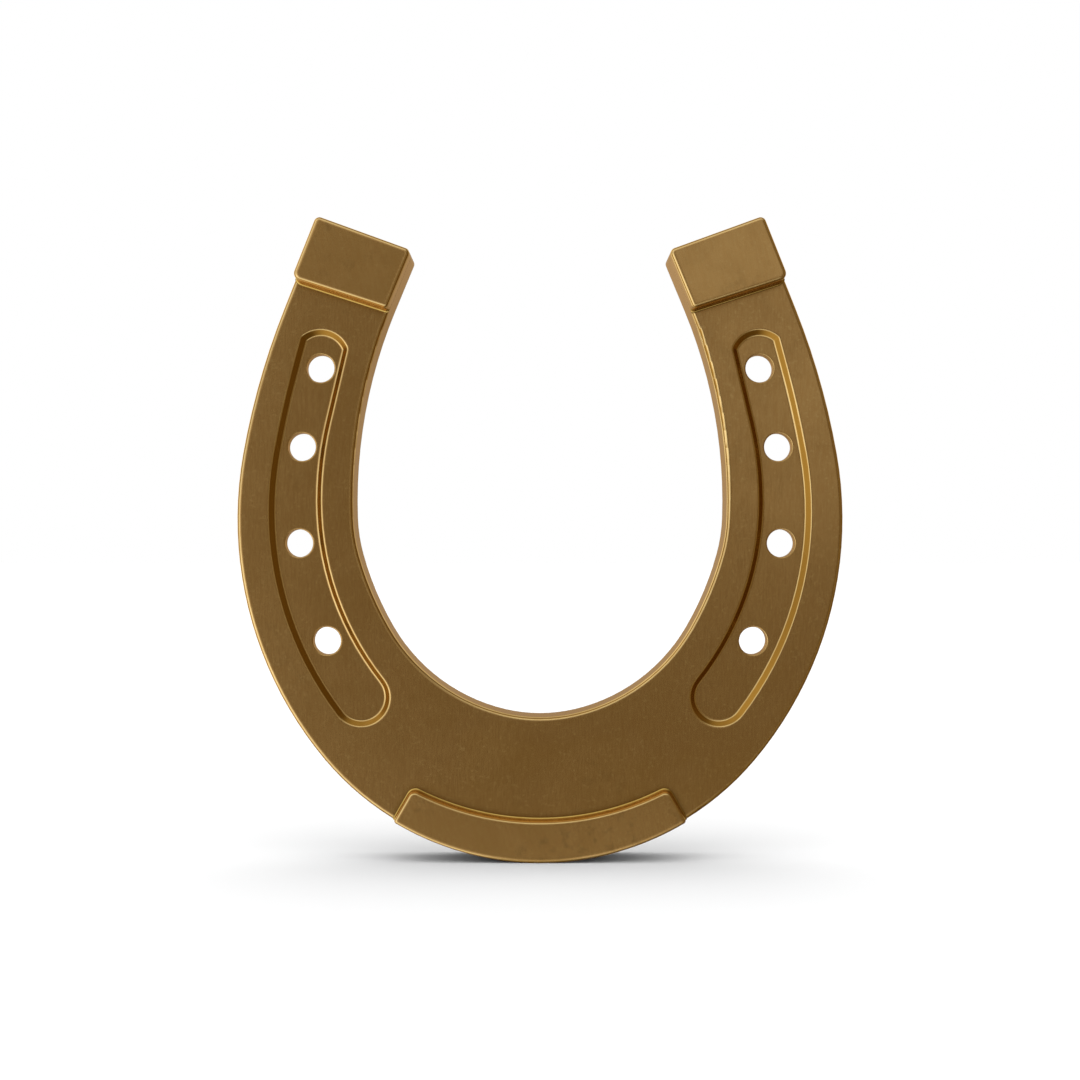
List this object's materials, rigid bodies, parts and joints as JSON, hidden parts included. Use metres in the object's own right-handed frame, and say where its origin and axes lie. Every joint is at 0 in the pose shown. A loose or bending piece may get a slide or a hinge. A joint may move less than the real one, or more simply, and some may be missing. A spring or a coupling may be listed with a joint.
{
  "type": "horseshoe",
  "caption": "U-shaped calked horseshoe: a bar with a recessed crease and round nail holes in each branch, a curved toe calk and a block calk on each heel.",
  "frame": {"origin": "under the toe, at the middle of the overall depth, where the shoe touches the floor when it stands upright on its toe", "axes": "+Z from the toe to the heels, +X to the right seen from the ground side, +Y towards the hoof side; the ground side with the calks faces -Y"},
  "size_m": [0.13, 0.0142, 0.137],
  "materials": {
    "bar_brass": "satin aged brass, dull brown with bright worn edges",
    "calk_brass": "satin aged brass, bright worn edges",
    "braze_filler": "brighter satin brass"
  },
  "bodies": {
    "root": {"shoe_bar": "bar_brass", "toe_calk": "calk_brass", "left_heel_calk": "calk_brass", "right_heel_calk": "calk_brass", "toe_calk_braze": "braze_filler", "left_heel_calk_braze": "braze_filler", "right_heel_calk_braze": "braze_filler"}
  },
  "joints": []
}
